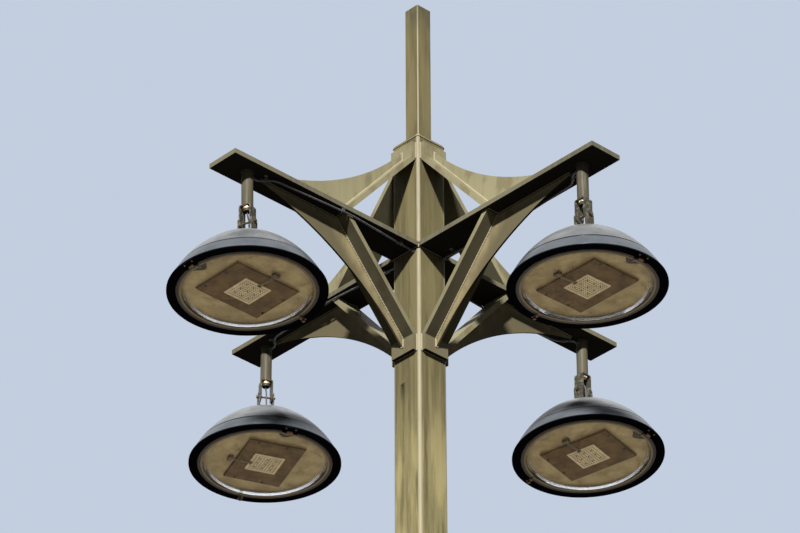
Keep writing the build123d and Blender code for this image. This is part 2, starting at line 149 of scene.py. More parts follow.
# %% Arithmetic on sockets
class Value:
    """A socket in a node tree that can stand in a formula."""

    def __init__(self, socket):
        self.socket = socket
        self.tree = socket.id_data

    def maths(self, operation, *others):
        inputs = dict(enumerate((self, *others)))
        return put(self.tree, "ShaderNodeMath", {"operation": operation}, inputs)

    def __add__(self, other):
        return self.maths("ADD", other)

    __radd__ = __add__

    def __mul__(self, other):
        return self.maths("MULTIPLY", other)

    __rmul__ = __mul__

    def __sub__(self, other):
        return self.maths("SUBTRACT", other)

    def __rsub__(self, other):
        return put(self.tree, "ShaderNodeMath", {"operation": "SUBTRACT"}, {0: other, 1: self})

    def __gt__(self, other):
        return self.maths("GREATER_THAN", other)

    def __lt__(self, other):
        return self.maths("LESS_THAN", other)

    def __abs__(self):
        return self.maths("ABSOLUTE")

    def root(self):
        return self.maths("SQRT")

    def least(self, other):
        return self.maths("MINIMUM", other)

    def most(self, other):
        return self.maths("MAXIMUM", other)

    def ramp(self, low, high, start=0.0, end=1.0):
        """A smooth step from start at low to end at high."""
        settings = {"interpolation_type": "SMOOTHSTEP", "clamp": True}
        if low > high:
            low, high, start, end = high, low, end, start
        sizes = {"Value": self, "From Min": low, "From Max": high, "To Min": start, "To Max": end}
        return put(self.tree, "ShaderNodeMapRange", settings, sizes)


print("a value also knows:", [name for name in vars(Value) if not name.startswith("_")])

# %% Parts that every finish uses
class Finish:
    """A material with one Principled shader, built from Object coordinates."""

    def __init__(self, name, **fixed):
        self.material = bpy.data.materials.new(name)
        self.material.use_nodes = True
        self.tree = self.material.node_tree
        self.shader = self.tree.nodes["Principled BSDF"]
        for label, number in fixed.items():
            self.shader.inputs[label.replace("_", " ")].default_value = number
        self.place = self.node("ShaderNodeTexCoord", output="Object")
        self.normal = self.node("ShaderNodeTexCoord", output="Normal")

    def node(self, kind, settings=None, inputs=None, output=0):
        return put(self.tree, kind, settings, inputs, output)

    def parts(self, vector):
        """The x, y and z of a vector."""
        split = self.node("ShaderNodeSeparateXYZ", inputs={0: vector})
        outputs = split.socket.node.outputs
        return [Value(outputs[axis]) for axis in range(3)]

    def noise(self, scale, detail=2.0, stretch=(1, 1, 1), shift=(0, 0, 0), where=None):
        """Clouds of the given scale, in 1 per metre, from 0 to 1."""
        mapped = self.node(
            "ShaderNodeMapping", inputs={0: where or self.place, "Location": shift, "Scale": stretch}
        )
        sizes = {"Vector": mapped, "Scale": scale, "Detail": detail, "Roughness": 0.55}
        return self.node("ShaderNodeTexNoise", {"noise_dimensions": "3D"}, sizes)

    def mix(self, mask, first, second):
        """The first colour where the mask is 0, and the second where it is 1."""
        colours = {}
        for key, colour in (("A_Color", first), ("B_Color", second)):
            colours[key] = colour if isinstance(colour, Value) else (*colour, 1.0)
        return self.node(
            "ShaderNodeMix", {"data_type": "RGBA", "clamp_factor": True},
            {"Factor_Float": mask, **colours}, "Result_Color",
        )

    def bump(self, height, strength, distance):
        """A relief from a height, with its depth in metres."""
        inputs = {"Height": height, "Strength": strength, "Distance": distance}
        return self.node("ShaderNodeBump", inputs=inputs)

    def finish(self, **sockets):
        """Links the values that vary over the surface to the shader's sockets."""
        for label, given in sockets.items():
            self.tree.links.new(given.socket, self.shader.inputs[label.replace("_", " ")])
        return self.material


print("a finish knows:", [name for name in vars(Finish) if not name.startswith("_")])

# %% [markdown]
# ## Bronze paint on the mast and arms
# The steel is painted an olive bronze that sun and rain have worked on for years. Water runs down the
# faces and leaves long soft streaks, some of them straw-coloured. The rounded edges of the square tube are
# pale, worn paint with a painted highlight, and faces that look down get painted shade. Stretching a noise
# along Z gives streaks that fit every upright face, and the pale edges come from how near a point lies to
# the corner of the tube, so that no image is needed.

# %% Tones of the paint
mast_tones = ((0.094, 0.078, 0.039), (0.206, 0.175, 0.078), (0.256, 0.219, 0.100))
arm_tones = ((0.144, 0.128, 0.075), (0.219, 0.197, 0.116), (0.263, 0.237, 0.138))
plate_tones = ((0.069, 0.062, 0.041), (0.119, 0.107, 0.069), (0.163, 0.147, 0.094))
tube_tones = ((0.041, 0.035, 0.024), (0.075, 0.065, 0.044), (0.106, 0.092, 0.059))
# The weld beads are painted paler than the paint round them, as a painted highlight along the beads.
weld_highlight_tones = ((0.200, 0.172, 0.106), (0.288, 0.250, 0.163), (0.350, 0.300, 0.200))
straw = (0.350, 0.298, 0.142)
rubbed_and_highlight = (0.290, 0.255, 0.172)
umber_and_shade = (0.090, 0.075, 0.042)
stained = (0.125, 0.094, 0.050)
web_highlight = (0.300, 0.240, 0.125)
grime_and_shade = (0.012, 0.010, 0.009)
mossy = (0.070, 0.064, 0.040)
dust = (0.300, 0.281, 0.194)
print("mast tones from dark to pale:", *mast_tones)

# %% [markdown]
# ## Where the paint has worn, and where light and shade are painted
# Some marks have a fixed place. On the mast these are the pale edges, worn paint with a painted highlight,
# painted shade from a metre below the arms upwards, the mossy top of the post and the dark smear under a
# drain hole. Under the plates it is painted shade with a brown tint, and on each lower web a painted
# highlight in a band that follows the bar. Formulas of a point's place put them there, and a noise breaks
# their edges up.

# %% Wear on the mast and its post
drain_side = -0.021
drain_height = arm_height - 0.577


def mast_wear_and_painted_light(paint, colour, dark, streaks, fine):
    """Straw patches, painted shade on the upper mast, pale edges of worn paint with a painted highlight, a
    mossy post top and the smear under the drain hole.
    """
    x, y, z = paint.parts(paint.place)
    patches = paint.noise(6.0, 3.0, (2.6, 2.6, 0.3), (1.0, 4.0, 0.0))
    colour = paint.mix(patches.ramp(0.47, 0.58, 0.0, 0.55), colour, straw)
    # Painted shade: from a metre below the arms upwards the mast is darker.
    colour = paint.mix(z.ramp(arm_height - 1.0, arm_height - 0.5, 0.0, 0.65), colour, dark)
    # The pale edges on the mast's and post's rounded corners are worn paint with a painted highlight.
    side = abs(x).most(abs(y))
    near = abs(x).least(abs(y))
    mast_edge = near.ramp(half_mast - 0.014, half_mast - 0.007) * (z < cap_top)
    post_edge = near.ramp(half_post - 0.0055, half_post - 0.0025) * (z > cap_top)
    edge = (mast_edge + post_edge) * (side < half_mast + 0.001)
    colour = paint.mix(edge * fine.ramp(0.2, 0.5, 0.45, 0.9), colour, rubbed_and_highlight)
    crust = fine.ramp(0.4, 0.6, 0.25, 0.95) * z.ramp(post_top - 0.16, post_top)
    colour = paint.mix(crust, colour, mossy)
    smear = abs(x - drain_side).ramp(0.020, 0.004) * (y < 0.0) * (z < drain_height)
    smear = smear * z.ramp(drain_height - 0.12, drain_height - 0.01)
    return paint.mix(smear * streaks.ramp(0.3, 0.6, 0.9, 0.5), colour, grime_and_shade)


print("drain hole at", round(drain_height, 3), "m")

# %% Wear under the plates
def low_stains_and_painted_light(paint, colour, below):
    """Painted shade with a brown tint below the plates, brown stains, and a painted highlight on each web
    along its bar.
    """
    x, y, z = paint.parts(paint.place)
    stains = paint.noise(13.0, 5.0, (1, 1, 0.5), (2.0, 0.0, 4.0))
    reach = abs(x).most(abs(y)) - half_mast
    drop = arm_height - z
    from_bar = reach * math.sin(bar_slope) + drop * math.cos(bar_slope)
    from_bar = from_bar - (bar_foot * math.sin(bar_slope) + bar_thick)
    on_web = (from_bar > 0.001) * (drop > 0.0) * (reach > bar_thick + 0.001)
    # Painted shade with a brown tint under the plates, stronger on the webs and on the tabs low down.
    shaded = (0.25 + 0.6 * on_web).most(drop.ramp(0.32, 0.42, 0.0, 0.65))
    colour = paint.mix(drop.ramp(0.0, 0.06) * shaded, colour, below)
    colour = paint.mix(stains.ramp(0.50, 0.64, 0.0, 0.5), colour, stained)
    # A painted highlight: a paler band on each web along its bar.
    band = from_bar.ramp(0.075, 0.005) * on_web
    return paint.mix(band * stains.ramp(0.35, 0.60, 0.8, 0.3), colour, web_highlight)


print("bars meet the plates", round(bar_foot, 3), "m from the mast")

# %% The five bronze paints
def bronze_paint(name, tones, streak, on_mast=False, below=None):
    """Weathered paint from its dark, middle and pale tones, with streaks of the given strength."""
    dark, middle, pale = tones
    paint = Finish(name, Specular_IOR_Level=0.0, Coat_Roughness=0.4)
    streaks = paint.noise(7.0, 4.0, (6.0, 6.0, 0.22))
    fine = paint.noise(30.0, 3.0, (5.0, 5.0, 0.35), (3.0, 1.0, 0.0))
    clouds = paint.noise(2.4, 3.0, (1, 1, 0.6), (0.0, 7.0, 2.0))
    specks = paint.noise(160.0, 2.0)
    colour = paint.mix(streaks.ramp(0.34, 0.62, 1.0 - streak, 1.0), dark, middle)
    colour = paint.mix(fine.ramp(0.45, 0.72, 0.0, 0.4 * streak), colour, rubbed_and_highlight)
    colour = paint.mix(clouds.ramp(0.45, 0.66, 0.0, 0.7), colour, pale)
    colour = paint.mix(specks.ramp(0.66, 0.74, 0.0, 0.5 * streak), colour, grime_and_shade)
    if on_mast:
        colour = mast_wear_and_painted_light(paint, colour, dark, streaks, fine)
    if below is not None:
        colour = low_stains_and_painted_light(paint, colour, below)
    upright = paint.parts(paint.normal)[2]
    colour = paint.mix(upright.ramp(0.55, 0.95, 0.0, 0.6), colour, dust)
    # Painted shade: faces that look down are painted near black.
    colour = paint.mix(upright.ramp(-0.35, -0.9, 0.0, 0.93), colour, grime_and_shade)
    skin = paint.noise(420.0, 2.0)
    relief = paint.bump(skin * 0.5 + streaks, 0.25, 0.0012)
    roughness = fine.ramp(0.3, 0.7, 0.36, 0.58)
    coat = upright.ramp(-0.5, -0.1, 0.0, 0.13)
    return paint.finish(Base_Color=colour, Roughness=roughness, Coat_Weight=coat, Normal=relief)


mast_paint = bronze_paint("mast_paint", mast_tones, 0.9, True)
arm_paint = bronze_paint("arm_paint", arm_tones, 0.25, below=umber_and_shade)
plate_paint = bronze_paint("plate_paint", plate_tones, 0.4)
tube_paint = bronze_paint("tube_paint", tube_tones, 0.6)
weld_highlight_paint = bronze_paint("weld_highlight_paint", weld_highlight_tones, 0.4)
paints = (mast_paint, arm_paint, plate_paint, tube_paint, weld_highlight_paint)
print("paints:", [paint.name for paint in paints])

# %% [markdown]
# ## Steel fittings
# The hangers' olive-grey paint flakes and lets rust through. The lock nuts are worn brass, the bolts and
# screws are plated steel, and the hinges, cables and their clips are black. Plating goes dull and spotty
# long before it fails, so its finish is mostly a change in roughness, with a few brown spots.

# %% Hanger paint, plating and rubber
def hanger_paint():
    paint = Finish("hanger_paint", Specular_IOR_Level=0.1)
    rust = paint.noise(70.0, 5.0)
    flakes = paint.noise(260.0, 3.0)
    colour = paint.mix(rust.ramp(0.50, 0.62), (0.047, 0.043, 0.031), (0.134, 0.122, 0.091))
    colour = paint.mix(flakes.ramp(0.62, 0.72, 0.0, 0.6), colour, (0.206, 0.181, 0.125))
    bleeding = paint.noise(45.0, 3.0, shift=(5.0, 0.0, 0.0))
    colour = paint.mix(bleeding.ramp(0.60, 0.70, 0.0, 0.6), colour, (0.119, 0.053, 0.022))
    relief = paint.bump(rust + flakes * 0.5, 0.4, 0.0006)
    return paint.finish(Base_Color=colour, Roughness=rust.ramp(0.4, 0.65, 0.42, 0.8), Normal=relief)


def plating(name, dull, clean, rusted):
    plate = Finish(name, Metallic=0.75)
    bloom = plate.noise(120.0, 4.0)
    spots = plate.noise(330.0, 2.0)
    colour = plate.mix(bloom.ramp(0.35, 0.7), dull, clean)
    colour = plate.mix(spots.ramp(rusted, rusted + 0.08, 0.0, 0.7), colour, (0.17, 0.09, 0.045))
    relief = plate.bump(bloom, 0.2, 0.0004)
    return plate.finish(Base_Color=colour, Roughness=bloom.ramp(0.3, 0.7, 0.35, 0.6), Normal=relief)


def black_rubber(name, grey, shine=0.5):
    sheath = Finish(name, Roughness=0.6, Specular_IOR_Level=shine)
    chalk = sheath.noise(90.0, 4.0)
    grain = sheath.noise(900.0, 2.0)
    colour = sheath.mix(chalk.ramp(0.4, 0.7), (grey, grey, grey), (2.2 * grey, 2.2 * grey, 2.1 * grey))
    relief = sheath.bump(grain, 0.2, 0.0003)
    return sheath.finish(Base_Color=colour, Roughness=chalk.ramp(0.3, 0.7, 0.45, 0.7), Normal=relief)


hanger_finish = hanger_paint()
brass_finish = plating("worn_brass", (0.420, 0.300, 0.170), (0.880, 0.690, 0.450), 0.62)
zinc_finish = plating("dull_zinc", (0.46, 0.45, 0.42), (0.62, 0.60, 0.54), 0.64)
worn_finish = plating("worn_steel", (0.060, 0.052, 0.044), (0.150, 0.130, 0.100), 0.52)
dark_finish = black_rubber("black_fittings", 0.005, 0.0)
cable_finish = black_rubber("cable_sheath", 0.045, 0.4)
clip_finish = black_rubber("clip_nylon", 0.035, 0.3)
fitting_finishes = (hanger_finish, brass_finish, zinc_finish, worn_finish, dark_finish)
print("fitting finishes:", [finish.name for finish in (*fitting_finishes, cable_finish, clip_finish)])

# %% [markdown]
# ## Lamp finishes
# A spun cover keeps fine rings from the tool that shaped it, so its pattern follows its own axis. Each
# lamp hangs at its own angle. A Mapping node carries the object's coordinates back into the lamp's frame,
# and from there the radius, the height and the angle round the axis are short formulas.

# %% Coordinates in a lamp's own frame
def in_lamp(finish, name):
    """A lamp's own coordinates as a vector, then the radius, the angle and the height."""
    back = lamp_frames[name].inverted()
    local = finish.node(
        "ShaderNodeMapping", {"vector_type": "POINT"},
        {0: finish.place, "Location": back.to_translation(), "Rotation": back.to_euler("XYZ")},
    )
    x, y, z = finish.parts(local)
    radius = (x * x + y * y).root()
    angle = y.maths("ARCTAN2", x)
    return local, radius, angle, z


print("lamp frames:", len(lamp_frames))

# %% Faded blue-grey paint on the spun cover
groove_height = 0.060


def cover_paint(name):
    paint = Finish(f"{name}_cover_paint", Coat_Roughness=0.22, Specular_IOR_Level=0.0)
    local, radius, angle, z = in_lamp(paint, name)
    clouds = paint.noise(9.0, 4.0, where=local)
    runs = paint.node("ShaderNodeCombineXYZ", inputs={0: angle * 6.0, 1: z * 3.0})
    washed = paint.noise(3.0, 4.0, where=runs)
    colour = paint.mix(clouds.ramp(0.35, 0.65), (0.083, 0.085, 0.089), (0.128, 0.130, 0.131))
    colour = paint.mix(washed.ramp(0.5, 0.7, 0.0, 0.5), colour, (0.116, 0.122, 0.125))
    # Painted shade and sky reflection: the cover is darker and bluer below its groove.
    skirt = z.ramp(groove_height, groove_height - 0.004, 0.0, 0.55)
    colour = paint.mix(skirt, colour, (0.051, 0.065, 0.077))
    specks = paint.noise(130.0, 2.0, where=local)
    colour = paint.mix(specks.ramp(0.70, 0.74, 0.0, 0.8), colour, (0.263, 0.263, 0.250))
    # Painted shade in the groove: a dark line along it.
    groove = abs(z - groove_height).ramp(0.0026, 0.0055, 0.95, 0.0)
    colour = paint.mix(groove, colour, (0.013, 0.013, 0.015))
    upright = paint.parts(paint.normal)[2]
    faded = upright.ramp(0.5, 0.95, 0.0, 0.55) * clouds.ramp(0.2, 0.6)
    colour = paint.mix(faded, colour, (0.225, 0.231, 0.219))
    # Painted shade: the cover's lowest rim and its faces that look down are near black, and also rougher and
    # without coat.
    band = z.ramp(0.006, 0.003).most(upright.ramp(-0.2, -0.5))
    colour = paint.mix(band, colour, (0.006, 0.006, 0.009))
    rings = (radius * 2400.0).maths("SINE") * 0.5 + (radius * 870.0).maths("SINE") * 0.5
    relief = paint.bump(rings + clouds * 2.0, 0.10, 0.0005)
    roughness = clouds.ramp(0.3, 0.7, 0.26, 0.40).most(band * 0.75)
    coat = 0.24 * (1.0 - band)
    return paint.finish(Base_Color=colour, Roughness=roughness, Coat_Weight=coat, Normal=relief)


cover_paints = {name: cover_paint(name) for name in arm_azimuths}
print("cover paints:", len(cover_paints), "with a groove at", groove_height, "m")

# %% Tan reflector tray with its darker gear platform
tray_floor = 0.012


def tray_finish(name):
    sheet = Finish(f"{name}_tray_finish", Metallic=0.85)
    local, radius, _, z = in_lamp(sheet, name)
    clouds = sheet.noise(14.0, 4.0, where=local)
    stains = sheet.noise(42.0, 5.0, where=local)
    colour = sheet.mix(clouds.ramp(0.35, 0.65), (0.375, 0.270, 0.125), (0.490, 0.368, 0.180))
    lowered = z.ramp(tray_floor - 0.001, tray_floor - 0.004)
    dark = sheet.mix(clouds.ramp(0.4, 0.62), (0.108, 0.054, 0.011), (0.172, 0.094, 0.022))
    colour = sheet.mix(lowered, colour, dark)
    colour = sheet.mix(radius.ramp(0.225, 0.262, 0.0, 0.6), colour, (0.150, 0.100, 0.045))
    colour = sheet.mix(stains.ramp(0.58, 0.7, 0.0, 0.25), colour, (0.080, 0.048, 0.020))
    relief = sheet.bump(clouds + stains * 0.3, 0.15, 0.0008)
    return sheet.finish(Base_Color=colour, Roughness=stains.ramp(0.3, 0.7, 0.4, 0.65), Normal=relief)


tray_finishes = {name: tray_finish(name) for name in arm_azimuths}
print("tray finishes:", len(tray_finishes))

# %% Cream light board with fine brown specks
def board_finish(name):
    board = Finish(f"{name}_board_finish", Metallic=0.7)
    local = in_lamp(board, name)[0]
    clouds = board.noise(30.0, 4.0, where=local)
    grain = board.noise(300.0, 3.0, where=local)
    colour = board.mix(clouds.ramp(0.35, 0.7), (0.720, 0.560, 0.340), (0.920, 0.760, 0.490))
    colour = board.mix(grain.ramp(0.56, 0.68, 0.0, 0.55), colour, (0.300, 0.210, 0.110))
    relief = board.bump(grain, 0.2, 0.0004)
    return board.finish(Base_Color=colour, Roughness=grain.ramp(0.3, 0.7, 0.45, 0.65), Normal=relief)


board_finishes = {name: board_finish(name) for name in arm_azimuths}
print("board finishes:", len(board_finishes))

# %% Brown pressed cover ring with a rusty latch
def ring_finish(name):
    ring = Finish(f"{name}_ring_finish", Metallic=0.8)
    local, radius, angle = in_lamp(ring, name)[:3]
    clouds = ring.noise(25.0, 4.0, where=local)
    flow = ring.node("ShaderNodeCombineXYZ", inputs={0: angle * 4.0, 1: radius * 30.0})
    drag = ring.noise(6.0, 3.0, where=flow)
    colour = ring.mix(clouds.ramp(0.35, 0.65), (0.022, 0.016, 0.009), (0.050, 0.035, 0.019))
    colour = ring.mix(drag.ramp(0.55, 0.72, 0.0, 0.5), colour, (0.140, 0.105, 0.065))
    # A painted reflection of the tray: the ring's inner edge is tan.
    inner = radius.ramp(0.2545, 0.2515)
    colour = ring.mix(inner, colour, (0.170, 0.118, 0.056))
    latch = radius.ramp(0.2655, 0.2675)
    colour = ring.mix(latch * clouds.ramp(0.4, 0.6, 0.4, 0.9), colour, (0.230, 0.105, 0.038))
    relief = ring.bump(drag, 0.15, 0.0005)
    return ring.finish(Base_Color=colour, Roughness=clouds.ramp(0.3, 0.7, 0.38, 0.6), Normal=relief)


ring_finishes = {name: ring_finish(name) for name in arm_azimuths}
print("ring finishes:", len(ring_finishes))

# %% [markdown]
# ## Dusty glass
# The cover glass is clear, so what shows is its reflection and the dust on it. Mixing a see-through shader
# with a glossy one by Fresnel keeps the light inside the lamp free of noise. Seen from straight below, a
# pane shows little, but this one curves near its rim. A bump that grows with the radius gives the curve,
# and its far side flashes with the sky, as it does in the photograph.

# %% Glass
def glass_finish(name):
    glass = Finish(f"{name}_glass", Roughness=0.5)
    local, radius = in_lamp(glass, name)[:2]
    smears = glass.noise(16.0, 5.0, where=local)
    edge_dirt = radius.ramp(0.215, 0.240)
    film = smears.ramp(0.45, 0.80, 0.0, 0.03) + edge_dirt * smears.ramp(0.3, 0.6, 0.0, 0.10)
    bend = radius.ramp(0.192, 0.235)
    bowed = glass.bump(-1.0 * bend * bend, 1.0, 0.0105)
    facing = glass.node("ShaderNodeLayerWeight", inputs={"Blend": 0.5, "Normal": bowed}, output="Facing")
    mirror = 0.01 + 0.62 * facing.ramp(0.5, 1.0).maths("POWER", 2.0)
    colour = glass.mix(smears.ramp(0.3, 0.7), (0.30, 0.26, 0.19), (0.42, 0.38, 0.30))
    glass.tree.links.new(colour.socket, glass.shader.inputs["Base Color"])
    clear = glass.node("ShaderNodeBsdfTransparent", inputs={"Color": (0.97, 0.97, 0.95, 1.0)})
    gloss = glass.node(
        "ShaderNodeBsdfGlossy",
        inputs={"Color": (1.0, 1.0, 1.0, 1.0), "Roughness": 0.05, "Normal": bowed},
    )
    pane = glass.node("ShaderNodeMixShader", inputs={0: mirror, 1: clear, 2: gloss})
    dirt = Value(glass.shader.outputs[0])
    both = glass.node("ShaderNodeMixShader", inputs={0: film, 1: pane, 2: dirt})
    output = glass.tree.nodes["Material Output"]
    glass.tree.links.new(both.socket, output.inputs["Surface"])
    return glass.material


glass_finishes = {name: glass_finish(name) for name in arm_azimuths}
print("glass finishes:", len(glass_finishes))

# %% Put the finishes on the CAD parts
def paint_node(node, material):
    mesh = frame["nodes"][node].data
    mesh.materials.clear()
    mesh.materials.append(material)


for node in ("mast", "mast_cap", "top_post", "post_cap", "base_flange", "base_gussets", "service_door"):
    paint_node(node, mast_paint)
paint_node("drop_tubes", tube_paint)
paint_node("pivot_bolts", worn_finish)
paint_node("lock_nuts", brass_finish)
paint_node("saddles", hanger_finish)
paint_node("feed_cables", cable_finish)
for node in ("cable_clips", "cable_glands"):
    paint_node(node, clip_finish)
for name in arm_azimuths:
    paint_node(f"{name}_plate", plate_paint)
    for piece in ("bars", "webs"):
        paint_node(f"{name}_{piece}", arm_paint)
    paint_node(f"{name}_yoke", hanger_finish)
    paint_node(f"{name}_hinge", dark_finish)
    paint_node(f"{name}_lead", cable_finish)
    paint_node(f"{name}_dome", cover_paints[name])
    paint_node(f"{name}_tray", tray_finishes[name])
    paint_node(f"{name}_light_board", board_finishes[name])
    paint_node(f"{name}_cover_ring", ring_finishes[name])
    paint_node(f"{name}_cover_glass", glass_finishes[name])
print("materials:", len(bpy.data.materials))

# %% [markdown]
# ## Growing pieces with Geometry Nodes
# Weld beads, light chips, screws and threads repeat along lines or over grids. For each kind, a small tree
# of geometry nodes does the repeating. A piece starts as a mesh of points or edges, the tree grows the
# real form on it, and the result is kept as a plain mesh on the body that carries it.

# %% Helpers for geometry trees
def new_tree(name, inputs):
    """A geometry tree with a Geometry input and output and the named inputs."""
    tree = bpy.data.node_groups.new(name, "GeometryNodeTree")
    tree.interface.new_socket("Geometry", in_out="INPUT", socket_type="NodeSocketGeometry")
    tree.interface.new_socket("Geometry", in_out="OUTPUT", socket_type="NodeSocketGeometry")
    for label, kind in inputs.items():
        tree.interface.new_socket(label, in_out="INPUT", socket_type=f"NodeSocket{kind}")
    group_in = tree.nodes.new("NodeGroupInput")
    return tree, {socket.name: Value(socket) for socket in group_in.outputs if socket.name}


def end_tree(tree, geometry, material):
    """Realizes instances, sets the material and closes the tree."""
    real = put(tree, "GeometryNodeRealizeInstances", inputs={0: geometry})
    done = put(tree, "GeometryNodeSetMaterial", inputs={"Geometry": real, "Material": material})
    group_out = tree.nodes.new("NodeGroupOutput")
    tree.links.new(done.socket, group_out.inputs[0])
    return tree


def grow(name, tree, start, sizes, body, slot):
    """Runs a tree on a start mesh and keeps the result as a plain mesh on one body."""
    piece = bpy.data.objects.new(name, start)
    bpy.context.scene.collection.objects.link(piece)
    modifier = piece.modifiers.new(tree.name, "NODES")
    modifier.node_group = tree
    for item in tree.interface.items_tree:
        if item.in_out == "INPUT" and item.name in sizes:
            modifier[item.identifier] = sizes[item.name]
    evaluated = piece.evaluated_get(bpy.context.evaluated_depsgraph_get())
    mesh = bpy.data.meshes.new_from_object(evaluated)
    piece.modifiers.clear()
    piece.data = mesh
    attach(piece, body)
    print(name, "faces:", len(mesh.polygons))
    return piece


print("pieces are grown by", grow.__name__)

# %% [markdown]
# ## Weld beads
# Bars, webs and plates are welded where they meet. A fillet weld is a rounded strip with small ripples,
# one for each dip of the rod. The tree turns edges into curves, cuts them into short steps and
# sweeps a small circle along them, whose radius swells and shrinks with the ripples.

# %% The weld tree
def weld_tree():
    tree, given = new_tree(
        "Weld beads", {"Bead radius": "Float", "Ripple": "Float", "Step": "Float", "Paint": "Material"}
    )
    lines = put(tree, "GeometryNodeMeshToCurve", inputs={0: given["Geometry"]})
    steps = put(
        tree, "GeometryNodeResampleCurve", {"mode": "LENGTH"}, {"Curve": lines, "Length": given["Step"]}
    )
    count = put(tree, "GeometryNodeInputIndex")
    wander = put(tree, "FunctionNodeRandomValue", {"data_type": "FLOAT"}, {"ID": count, "Seed": 4}, 1)
    swell = 1.0 + given["Ripple"] * ((count * 2.1).maths("SINE") + wander - 0.5)
    sized = put(tree, "GeometryNodeSetCurveRadius", inputs={"Curve": steps, "Radius": swell})
    profile = put(
        tree, "GeometryNodeCurvePrimitiveCircle", inputs={"Resolution": 6, "Radius": given["Bead radius"]}
    )
    bead = put(
        tree, "GeometryNodeCurveToMesh",
        inputs={"Curve": sized, "Profile Curve": profile, "Scale": swell, "Fill Caps": True},
    )
    smooth = put(tree, "GeometryNodeSetShadeSmooth", inputs={0: bead, "Shade Smooth": True})
    return end_tree(tree, smooth, given["Paint"])


weld_beads = weld_tree()
print("weld tree nodes:", len(weld_beads.nodes))

# %% Beads along lines of points
def line_mesh(name, lines):
    """Edges along each list of points."""
    points, edges = [], []
    for line in lines:
        edges += [(len(points) + step, len(points) + step + 1) for step in range(len(line) - 1)]
        points += [tuple(point) for point in line]
    mesh = bpy.data.meshes.new(name)
    mesh.from_pydata(points, edges, [])
    return mesh


def weld(name, lines, radius, paint, ripple=0.12, step=0.004, slot="painted_steel"):
    """Beads of the given radius along lines of points, on the mast's body."""
    sizes = {"Bead radius": radius, "Ripple": ripple, "Step": step, "Paint": paint}
    return grow(name, weld_beads, line_mesh(f"{name}_lines", lines), sizes, mast_body, slot)


def both_sides(lines):
    """The same lines above and below the arm's plate."""
    below = [[(x, y, plate_thick - z) for x, y, z in line] for line in lines]
    return lines + below


print("beads are laid by", weld.__name__)

# %% Beads along one arm
foot = half_mast + bar_foot
outer_foot = foot + bar_thick / math.sin(bar_slope)
outer_bend = bar_bend + bar_thick / math.cos(bar_slope) - bar_thick * math.tan(bar_slope)
bend_height = plate_thick + bar_bend
face_height = plate_thick + outer_bend
web_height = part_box("east_webs")[1][2] - arm_height
tab_edge = half_mast + bar_thick
bead_radius = 0.0045
tab_lines = [[
    (half_mast, -half_bar, bend_height), (half_mast, -half_bar, tab_top),
    (half_mast, half_bar, tab_top), (half_mast, half_bar, bend_height),
]]
foot_lines = [
    [(foot, -half_bar, plate_thick), (foot, half_bar, plate_thick)],
    [(outer_foot, -half_bar, plate_thick), (outer_foot, half_bar, plate_thick)],
]
web_lines = [
    [(tab_edge, side, web_height), (tab_edge, side, face_height), (outer_foot, side, plate_thick),
     (web_reach, side, plate_thick)]
    for side in (-half_web, half_web)
]
root_lines = [
    [(half_mast, -half_mast, level), (half_mast, half_mast, level)] for level in (0.0, plate_thick)
]
collar_sides = 24
tube_collar = [
    (tube_reach + tube_radius * math.cos(turn), tube_radius * math.sin(turn), 0.0)
    for turn in (math.tau * step / collar_sides for step in range(collar_sides + 1))
]
arm_lines = both_sides(tab_lines + foot_lines + web_lines) + root_lines
collars = []
for name, place in arm_frames.items():
    lines = [[place @ Vector(point) for point in line] for line in arm_lines]
    weld(f"{name}_arm_welds", lines, bead_radius, weld_highlight_paint)
    collars.append([place @ Vector(point) for point in tube_collar])
weld("tube_collars", collars, bead_radius, tube_paint)

# %% Beads on the mast, its post and its base
def rounded_square(half, corner, level):
    """Points round a square with rounded corners, ending where they start."""
    inner = half - corner
    turns = [math.radians(step * 15) for step in range(24)]
    points = []
    for turn in turns + turns[:1]:
        centre_x = math.copysign(inner, math.cos(turn + 0.001))
        centre_y = math.copysign(inner, math.sin(turn + 0.001))
        points.append((centre_x + corner * math.cos(turn), centre_y + corner * math.sin(turn), level))
    return points


mast_corner, post_corner = 0.011, 0.005
flange_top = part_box("base_flange")[1][2]
gusset_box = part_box("base_gussets")
gusset_reach, gusset_top = gusset_box[1][0], gusset_box[1][2]
half_gusset = 0.005
gusset_lines = [
    [(half_mast, side, gusset_top), (half_mast, side, flange_top), (gusset_reach, side, flange_top)]
    for side in (-half_gusset, half_gusset)
]
base_lines = [rounded_square(half_mast, mast_corner, flange_top)]
for azimuth in arm_azimuths.values():
    turn = Matrix.Rotation(math.radians(azimuth), 4, "Z")
    base_lines += [[turn @ Vector(point) for point in line] for line in gusset_lines]
top_lines = [
    rounded_square(half_mast, mast_corner, mast_top), rounded_square(half_post, post_corner, cap_top)
]
base_bead, top_bead = 0.006, 0.0035
weld("base_welds", base_lines, base_bead, weld_highlight_paint)
weld("mast_top_welds", top_lines, top_bead, weld_highlight_paint)

# %% [markdown]
# ## Threads
# A thread this small reads as a stack of fine rings, so the weld tree with its ripple at zero draws them
# round the spigots and the bolts' ends.

# %% Threads on spigots and bolts
def circle(centre, across, upwards, radius, sides=24):
    """Points round a circle in the plane of two unit vectors, ending where they start."""
    turns = (math.tau * step / sides for step in range(sides + 1))
    return [centre + radius * (math.cos(turn) * across + math.sin(turn) * upwards) for turn in turns]


